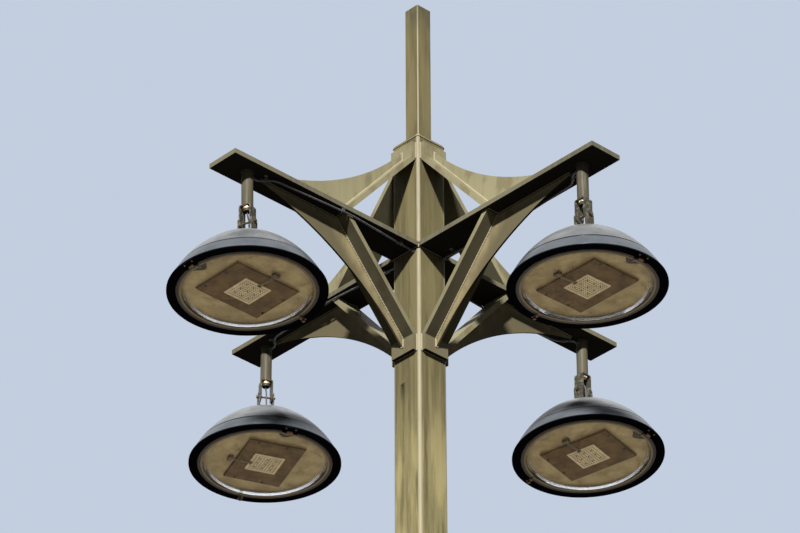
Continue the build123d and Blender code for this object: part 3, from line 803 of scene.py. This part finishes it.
spigot_below_pivot = 0.049
spigot_radius = 0.015
spigot_rings, spigot_pitch, spigot_start = 5, 0.0015, 0.0013
bolt_radius = 0.004
yoke_half = 0.0305
bolt_rings, bolt_pitch, bolt_start = 6, 0.00125, 0.0010
ring_bead, ring_step = 0.00045, 0.002
thread_lines = []
for name, place in arm_frames.items():
    swivel = joints[f"{name}_lamp_swivel"]
    axis = Vector(swivel["axis"])
    pivot = Vector(swivel["pos_m"])
    along_tube = (place @ Vector((tube_reach, 0, 0)) - pivot).normalized()
    across = axis.cross(along_tube)
    for step in range(spigot_rings):
        centre = pivot + along_tube * (spigot_below_pivot + spigot_start + spigot_pitch * step)
        thread_lines.append(circle(centre, axis, across, spigot_radius))
    for step in range(bolt_rings):
        centre = pivot + axis * (yoke_half + bolt_start + bolt_pitch * step)
        thread_lines.append(circle(centre, across, along_tube, bolt_radius, 12))
weld("threads", thread_lines, ring_bead, worn_finish, 0.0, ring_step, "zinc_steel")

# %% [markdown]
# ## Screws, light chips and other repeats
# Screw heads and light chips are all short cones with a few sides, so one tree draws them. Each point of
# the start mesh carries two directions: one that the head points in and one that a flat faces.

# %% The fastener tree
def fastener_tree():
    tree, given = new_tree("Fasteners", {
        "Sides": "Int", "Radius": "Float", "Height": "Float", "Taper": "Float", "Finish": "Material",
    })
    aim, along = [
        put(tree, "GeometryNodeInputNamedAttribute", {"data_type": "FLOAT_VECTOR"}, {"Name": label})
        for label in ("aim", "along")
    ]
    points = put(tree, "GeometryNodeMeshToPoints", inputs={0: given["Geometry"]})
    head = put(tree, "GeometryNodeMeshCone", inputs={
        "Vertices": given["Sides"], "Radius Top": given["Radius"] * given["Taper"],
        "Radius Bottom": given["Radius"], "Depth": given["Height"],
    })
    upright = put(tree, "FunctionNodeAlignRotationToVector", {"axis": "Z"}, {"Vector": aim})
    facing = put(
        tree, "FunctionNodeAlignRotationToVector", {"axis": "X", "pivot_axis": "Z"},
        {"Rotation": upright, "Vector": along},
    )
    copies = put(tree, "GeometryNodeInstanceOnPoints", inputs={
        "Points": points, "Instance": head, "Rotation": facing,
    })
    return end_tree(tree, copies, given["Finish"])


fasteners = fastener_tree()
print("fastener tree nodes:", len(fasteners.nodes))

# %% Heads of one shape at many spots
def studs(name, place, spots, shape, material, body, slot):
    """Heads of one shape (sides, radius, height, taper) at spots of (point, aim, along) in a frame."""
    mesh = bpy.data.meshes.new(f"{name}_spots")
    mesh.from_pydata([tuple(place @ Vector(spot[0])) for spot in spots], [], [])
    turn = place.to_3x3()
    for label, index in (("aim", 1), ("along", 2)):
        attribute = mesh.attributes.new(label, "FLOAT_VECTOR", "POINT")
        for item, spot in zip(attribute.data, spots):
            item.vector = turn @ Vector(spot[index])
    sides, radius, height, taper = shape
    sizes = {"Sides": sides, "Radius": radius, "Height": height, "Taper": taper, "Finish": material}
    return grow(name, fasteners, mesh, sizes, body, slot)


def facing_down(points):
    """Spots for heads that point down, with a flat towards x."""
    return [(point, (0, 0, -1), (1, 0, 0)) for point in points]


print("heads are set by", studs.__name__)

# %% Screws on the cable clips
# Each clip: its place along the arm, its place across, its turn in degrees and the side of its foot.
cable_clips = [(0.143, 0.0490, 3.9, -1), (0.462, 0.0655, -3.4, -1), (0.813, 0.0230, -45.0, 1)]
clip_foot_thick = 0.002
clip_screw_out = 0.016
clip_screw = (12, 0.0045, 0.003, 0.7)
clip_screw_points = []
for place in arm_frames.values():
    for along, side, angle, foot in cable_clips:
        turn = math.radians(angle)
        out = foot * clip_screw_out
        spot = (along - out * math.sin(turn), side + out * math.cos(turn), -clip_foot_thick)
        clip_screw_points.append(place @ Vector(spot))
clip_screw_spots = facing_down(clip_screw_points)
studs("clip_screws", Matrix(), clip_screw_spots, clip_screw, worn_finish, mast_body, "zinc_steel")

# %% Screws on the service door
door_low, door_high = (Vector(corner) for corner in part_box("service_door"))
door_middle = (door_low + door_high) / 2
door_reach = (door_high - door_low) / 2
door_lap_middle = 0.0055
side_screw_rise = 0.62 * door_reach.z
door_screw = (12, 0.005, 0.0028, 0.65)
door_side = door_reach.y - door_lap_middle
door_end = door_reach.z - door_lap_middle
door_points = [(side * door_side, rise) for side in (-1, 1) for rise in (-side_screw_rise, side_screw_rise)]
door_points += [(0.0, -door_end), (0.0, door_end)]
studs("door_screws", Matrix(), [
    ((door_low.x, across, door_middle.z + rise), (-1, 0, 0), (0, 1, 0)) for across, rise in door_points
], door_screw, zinc_finish, mast_body, "zinc_steel")

# %% [markdown]
# ## Inside the lamps
# Behind the glass sits a cream board with rows of small brown light chips and dark screws. A terminal
# block on the tray feeds it by three thin wires, and a three-cornered clip by the hinge holds the glass.
# The block and the clip each have a shape of their own, so boxes and a plate with softened edges are made
# directly as meshes, and the wires are curves with a round section.

# %% Finishes of the chips, the wires and the small steel parts
def chip_finish():
    chip = Finish("light_chips", Coat_Roughness=0.2, Roughness=0.4, Metallic=0.6)
    clouds = chip.noise(60.0, 3.0)
    grain = chip.noise(700.0, 2.0)
    colour = chip.mix(clouds.ramp(0.35, 0.65), (0.250, 0.165, 0.065), (0.400, 0.285, 0.130))
    relief = chip.bump(grain, 0.1, 0.0002)
    return chip.finish(Base_Color=colour, Coat_Weight=clouds.ramp(0.3, 0.7, 0.1, 0.4), Normal=relief)


chips = chip_finish()
wire_finish = plating("tan_wires", (0.200, 0.145, 0.070), (0.420, 0.330, 0.190), 0.60)
clip_steel = plating("clip_steel", (0.018, 0.011, 0.004), (0.050, 0.031, 0.013), 0.66)
terminal_finish = plating("tan_terminal", (0.110, 0.075, 0.036), (0.250, 0.180, 0.095), 0.60)
print("small finishes:", chips.name, wire_finish.name, clip_steel.name, terminal_finish.name)

# %% Meshes made directly
def keep(name, mesh, material, body, slot):
    """A finished mesh as a piece on one body."""
    mesh.materials.append(material)
    piece = bpy.data.objects.new(name, mesh)
    bpy.context.scene.collection.objects.link(piece)
    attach(piece, body)
    return piece


def blocks(name, place, boxes, material, body, slot):
    """Boxes of (centre, size) with softened edges, as one piece."""
    shape = bmesh.new()
    for centre, size in boxes:
        stretch = Matrix.Translation(centre) @ Matrix.Diagonal((*size, 1.0))
        bmesh.ops.create_cube(shape, size=1.0, matrix=stretch)
    bmesh.ops.bevel(shape, geom=shape.edges[:], offset=0.0006, segments=2, affect="EDGES")
    shape.transform(place)
    mesh = bpy.data.meshes.new(name)
    shape.to_mesh(mesh)
    shape.free()
    return keep(name, mesh, material, body, slot)


def flat_plate(name, place, outline, low, thick, material, body, slot):
    """A flat plate with the given outline of (x, y) points and a rounded edge."""
    shape = bmesh.new()
    corners = [shape.verts.new((x, y, low)) for x, y in outline]
    shape.faces.new(corners)
    raised = bmesh.ops.extrude_face_region(shape, geom=shape.faces[:])
    moved = [item for item in raised["geom"] if isinstance(item, bmesh.types.BMVert)]
    bmesh.ops.translate(shape, verts=moved, vec=(0, 0, thick))
    bmesh.ops.recalc_face_normals(shape, faces=shape.faces[:])
    bmesh.ops.bevel(shape, geom=shape.edges[:], offset=0.0005, segments=2, affect="EDGES")
    shape.transform(place)
    mesh = bpy.data.meshes.new(name)
    shape.to_mesh(mesh)
    shape.free()
    return keep(name, mesh, material, body, slot)


def wires(name, place, routes, radius, material, body, slot):
    """Thin round wires along smooth lines, as one mesh."""
    curve = bpy.data.curves.new(name, "CURVE")
    curve.dimensions = "3D"
    curve.bevel_depth = radius
    curve.bevel_resolution = 3
    curve.resolution_u = 8
    curve.use_fill_caps = True
    for route in routes:
        spline = curve.splines.new("NURBS")
        spline.points.add(len(route) - 1)
        for point, spot in zip(spline.points, route):
            point.co = (*(place @ Vector(spot)), 1.0)
        spline.order_u = 3
        spline.use_endpoint_u = True
    drawn = bpy.data.objects.new(f"{name}_lines", curve)
    bpy.context.scene.collection.objects.link(drawn)
    mesh = bpy.data.meshes.new_from_object(drawn.evaluated_get(bpy.context.evaluated_depsgraph_get()))
    mesh.materials.clear()
    bpy.data.objects.remove(drawn)
    return keep(name, mesh, material, body, slot)


print("direct meshes:", [maker.__name__ for maker in (blocks, flat_plate, wires)])

# %% Chips and screws behind the glass
chip_rows = 10
chip_pitch = 0.011
chip_shape = (4, 0.0034, 0.0012, 0.9)
board_face = 0.0
board_screw_pitch = 0.033
board_screw = (8, 0.0028, 0.0020, 0.8)
platform_floor = 0.002
tray_screw = (12, 0.0055, 0.003, 0.7)


def fit_board(name, place):
    """One lamp's light chips, board screws and tray screws."""
    lamp = f"{name}_lamp"
    steps = [chip_pitch * (step - (chip_rows - 1) / 2) for step in range(chip_rows)]
    chip_spots = [((x, y, board_face), (0, 0, -1), (1, 1, 0)) for x in steps for y in steps]
    studs(f"{name}_light_chips", place, chip_spots, chip_shape, chips, lamp, "board")
    thirds = [board_screw_pitch * step for step in (-1, 0, 1)]
    board_spots = facing_down((x, y, board_face) for x in thirds for y in thirds)
    studs(f"{name}_board_screws", place, board_spots, board_screw, clip_finish, lamp, "zinc_steel")
    tray_spots = facing_down((x, y, platform_floor) for x in (-0.140, 0.140) for y in (-0.075, 0.040))
    studs(f"{name}_tray_screws", place, tray_spots, tray_screw, clip_steel, lamp, "zinc_steel")


print("chips on a board:", chip_rows * chip_rows)

# %% Terminal block and wires
# Each box: its middle, its size and the height of the face that it sits on.
terminal_boxes = [
    ((-0.016, 0.140), (0.030, 0.016, 0.012), tray_floor),
    ((-0.016, 0.129), (0.018, 0.006, 0.006), tray_floor),
    ((-0.008, 0.0565), (0.016, 0.007, 0.005), board_face),
]
# Each point of the wires: x of the middle one, the gap to its neighbours, y and z.
wire_route = [
    (-0.016, 0.005, 0.128, tray_floor - 0.003), (-0.016, 0.005, 0.122, tray_floor - 0.011),
    (-0.014, 0.005, 0.108, 0.0008), (-0.011, 0.004, 0.086, 0.0008),
    (-0.009, 0.004, 0.068, 0.0006), (-0.008, 0.004, 0.058, -0.0025),
]
wire_radius = 0.0012
feed_side = {"east": -1, "north": -1, "west": -1, "south": 1}


def wire_board(name, place):
    """One lamp's terminal block, the connector on its board and three wires between them."""
    lamp, side = f"{name}_lamp", feed_side[name]
    boxes = [((x, side * y, face - size[2] / 2), size) for (x, y), size, face in terminal_boxes]
    blocks(f"{name}_terminal", place, boxes, terminal_finish, lamp, "clip_plastic")
    routes = [[(x + gap * step, side * y, z) for x, gap, y, z in wire_route] for step in (-1, 0, 1)]
    wires(f"{name}_board_wires", place, routes, wire_radius, wire_finish, lamp, "cable_rubber")


print("boxes:", len(terminal_boxes), "points of a wire:", len(wire_route))

# %% Hinge screws and the clip on the cover glass
hinge_screw = (12, 0.0042, 0.0022, 0.7)
hinge_screw_points = [(0.2883, y, -0.003) for y in (-0.02, 0.02)]
glass_clip_outline = [
    (0.258, 0.052), (0.242, 0.046), (0.210, 0.012), (0.205, 0.0), (0.210, -0.012), (0.242, -0.046),
    (0.258, -0.052),
]
glass_clip_low, glass_clip_thick = 0.0072, 0.0018
glass_clip_screw = (12, 0.0065, 0.004, 0.8)
glass_screw_points = [(0.231, 0.0, glass_clip_low)]


def fit_cover(name, place):
    """One lamp's hinge screws, and the clip and its screw on the cover."""
    lamp, cover = f"{name}_lamp", f"{name}_cover"
    hinge_spots = facing_down(hinge_screw_points)
    studs(f"{name}_hinge_screws", place, hinge_spots, hinge_screw, worn_finish, lamp, "zinc_steel")
    flat_plate(
        f"{name}_glass_clip", place, glass_clip_outline, glass_clip_low, glass_clip_thick, clip_steel, cover,
        "ring_metal",
    )
    screw_spots = facing_down(glass_screw_points)
    studs(f"{name}_glass_clip_screw", place, screw_spots, glass_clip_screw, worn_finish, cover, "zinc_steel")


for name, place in lamp_frames.items():
    fit_board(name, place)
    wire_board(name, place)
    fit_cover(name, place)
print("lamps fitted:", len(lamp_frames))

# %% [markdown]
# ## The camera
# The photograph is taken from low down with a long lens. The place below comes from a fit of the arms',
# plates' and tubes' corners in the photograph, worked out once and kept as a position, three turns and a
# focal length in pixels of the photograph's 800 by 533 frame.

# %% Camera
photo_size = (800, 533)
camera_distance = 14.6043
camera_azimuth = math.radians(46.4256)
camera_below_plates = 9.4280
camera_yaw = math.radians(0.2941)
camera_pitch = math.radians(32.7683)
camera_roll = math.radians(-0.2234)
focal_pixels = 4496.49
sensor_width = 36.0

heading = camera_azimuth + camera_yaw
ahead = Vector((
    -math.sin(heading) * math.cos(camera_pitch), math.cos(heading) * math.cos(camera_pitch),
    math.sin(camera_pitch),
))
right = Vector((math.cos(heading), math.sin(heading), 0.0))
up = right.cross(ahead)
level_right = math.cos(camera_roll) * right + math.sin(camera_roll) * up
level_up = -math.sin(camera_roll) * right + math.cos(camera_roll) * up
camera_data = bpy.data.cameras.new("street_camera")
camera_data.sensor_fit = "HORIZONTAL"
camera_data.sensor_width = sensor_width
camera_data.lens = focal_pixels / photo_size[0] * sensor_width
camera_data.clip_end = 200.0
camera = bpy.data.objects.new("street_camera", camera_data)
bpy.context.scene.collection.objects.link(camera)
camera.matrix_world = Matrix.Translation((
    camera_distance * math.sin(camera_azimuth), -camera_distance * math.cos(camera_azimuth),
    arm_height - camera_below_plates,
)) @ Matrix((level_right, level_up, -ahead)).transposed().to_4x4()
bpy.context.scene.camera = camera
print("lens", round(camera_data.lens, 1), "mm, eye height", round(camera.location.z, 2), "m")

# %% [markdown]
# ## Light, floor and sky
# A soft key light from behind and above the camera gives the photograph's bright faces and dark undersides
# without its hard edges, and a wide weak light from the far side fills the back. The camera and the
# reflections see a pale sky, while the light that the sky sends on the object is plain and neutral.

# %% Lights
def sun_light(name, azimuth, elevation, strength, softness):
    light = bpy.data.lights.new(name, "SUN")
    light.energy = strength
    light.angle = math.radians(softness)
    lamp = bpy.data.objects.new(name, light)
    bpy.context.scene.collection.objects.link(lamp)
    turn = math.radians(azimuth)
    rise = math.radians(elevation)
    source = Vector((math.sin(turn) * math.cos(rise), -math.cos(turn) * math.cos(rise), math.sin(rise)))
    lamp.rotation_euler = source.to_track_quat("Z", "Y").to_euler()
    return lamp


sun_light("key", azimuth=41, elevation=26, strength=7.4, softness=4)
sun_light("fill", azimuth=-139, elevation=30, strength=1.9, softness=90)

# %% Sky
sky_colour = (0.545, 0.620, 0.740)
world = bpy.data.worlds.new("pale_sky")
bpy.context.scene.world = world
world.use_nodes = True
world_tree = world.node_tree
rays = put(world_tree, "ShaderNodeLightPath")
seen = Value(rays.socket.node.outputs["Is Camera Ray"])
shiny = Value(rays.socket.node.outputs["Is Glossy Ray"])
through = Value(rays.socket.node.outputs["Is Transmission Ray"])
direction = put(world_tree, "ShaderNodeTexCoord", output="Generated")
height = put(world_tree, "ShaderNodeSeparateXYZ", inputs={0: direction}, output=2)
soft_light = height.ramp(-0.6, 0.5, 0.03, 0.07)
soft = put(world_tree, "ShaderNodeCombineColor", inputs={0: soft_light, 1: soft_light, 2: soft_light * 1.04})
pale = put(world_tree, "ShaderNodeMix", {"data_type": "RGBA"}, {
    "Factor_Float": seen.most(shiny).most(through), "A_Color": soft, "B_Color": (*sky_colour, 1.0),
}, "Result_Color")
world_tree.links.new(pale.socket, world_tree.nodes["Background"].inputs["Color"])
print("sky colour:", sky_colour)

# %% Floor
floor_radius = 60.0
floor_sides = 96
floor_drop = 0.001
floor_edge = circle(Vector((0, 0, 0)), Vector((1, 0, 0)), Vector((0, 1, 0)), floor_radius, floor_sides)
floor_mesh = bpy.data.meshes.new("floor")
floor_mesh.from_pydata(floor_edge[:floor_sides], [], [tuple(range(floor_sides))])
floor = bpy.data.objects.new("floor", floor_mesh)
bpy.context.scene.collection.objects.link(floor)
floor.location.z = -floor_drop
floor_finish = Finish("pale_floor", Roughness=0.9)
floor_rays = floor_finish.node("ShaderNodeLightPath")
floor_seen = Value(floor_rays.socket.node.outputs["Is Camera Ray"])
floor_shiny = Value(floor_rays.socket.node.outputs["Is Glossy Ray"])
floor_mesh.materials.append(floor_finish.finish(Base_Color=floor_finish.mix(
    floor_seen.most(floor_shiny), (0.081, 0.075, 0.066), (0.45, 0.45, 0.45),
)))
bpy.context.scene.view_settings.view_transform = "Standard"
print("floor:", 2 * floor_radius, "m wide")
